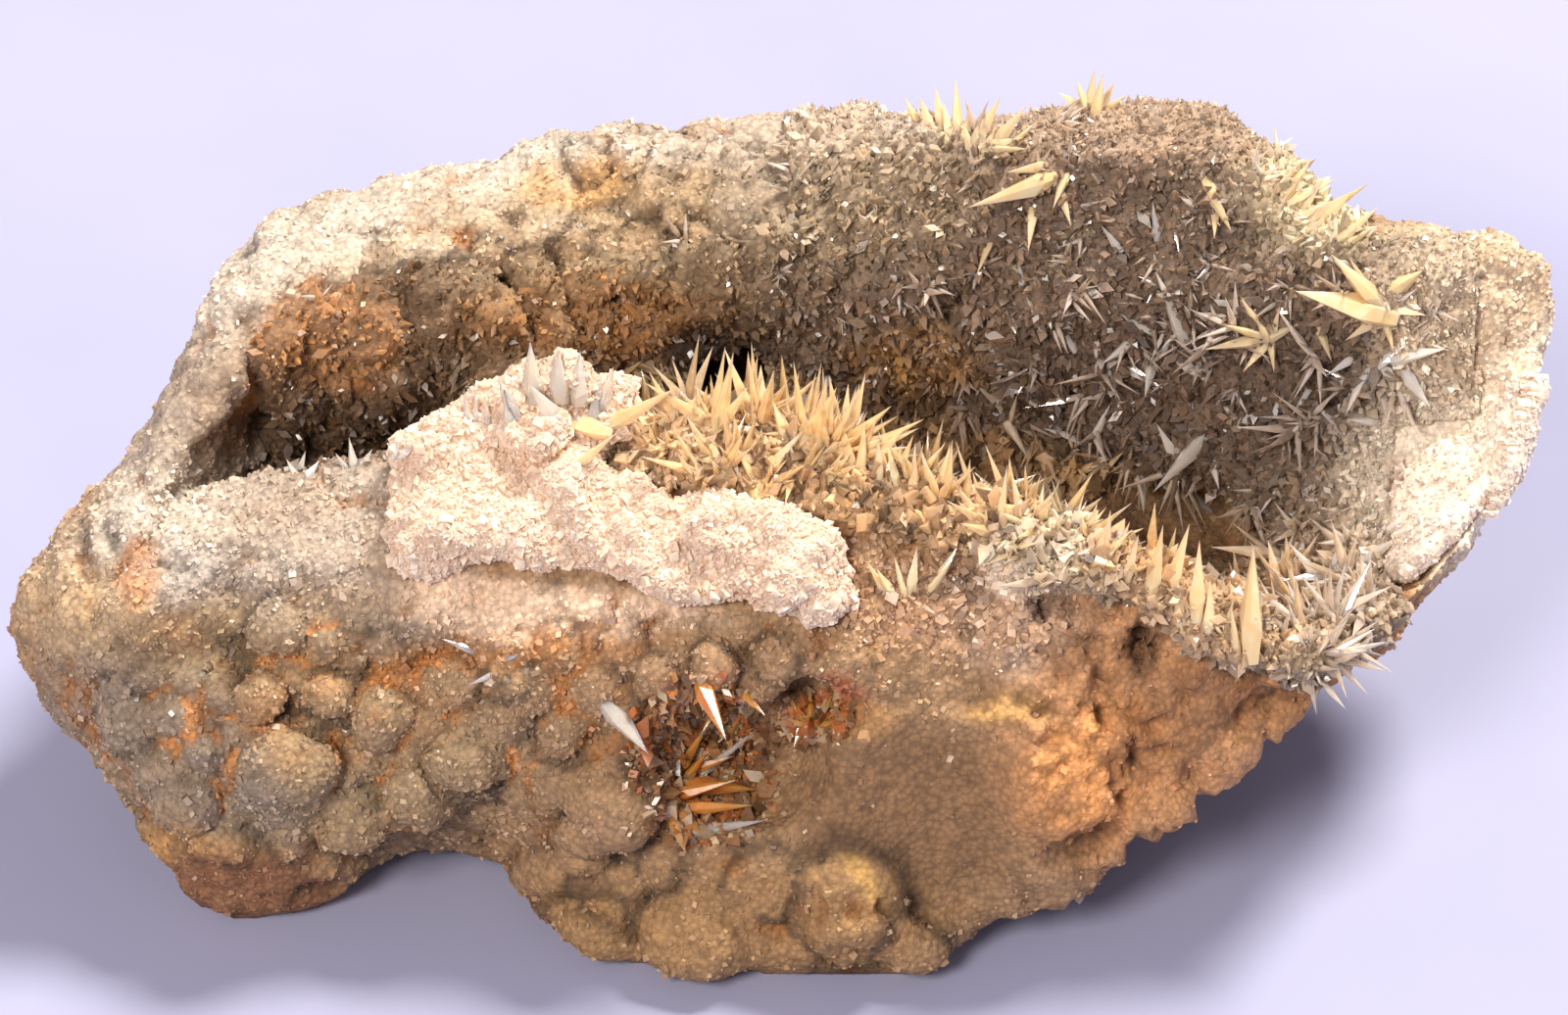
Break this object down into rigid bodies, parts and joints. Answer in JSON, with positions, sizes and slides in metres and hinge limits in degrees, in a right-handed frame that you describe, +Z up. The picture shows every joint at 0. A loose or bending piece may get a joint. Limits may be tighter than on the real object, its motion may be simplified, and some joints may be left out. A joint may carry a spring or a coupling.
{
  "type": "calcite specimen",
  "caption": "Calcite hand specimen: iron-stained rock with an open hollow lined with pointed honey-coloured crystals, white broken calcite on its lip and a rust-stained crystal sheaf in front",
  "frame": {"origin": "on the table under the middle of the specimen's bounding box", "axes": "+X runs along the specimen from its blunt left tip to the overhanging right end, +Y points to the back, away from the side with the pocket, +Z is up"},
  "size_m": [0.1298, 0.0692, 0.051],
  "materials": {
    "host_rock": "rough, iron-stained, with ochre and rust patches",
    "vug_crystal_crust": "sparkling druse with clear honey-coloured pointed crystals",
    "white_calcite_shelf": "sugary, broken cleavage faces",
    "white_calcite_end": "massive, fine-grained, slightly waxy",
    "pocket_crystal_cluster": "glassy pointed crystals stained rust-orange"
  },
  "bodies": {
    "root": {"host_rock": "host_rock", "vug_crystal_crust": "vug_crystal_crust", "white_calcite_shelf": "white_calcite_shelf", "white_calcite_end": "white_calcite_end", "pocket_crystal_cluster": "pocket_crystal_cluster"}
  },
  "joints": []
}
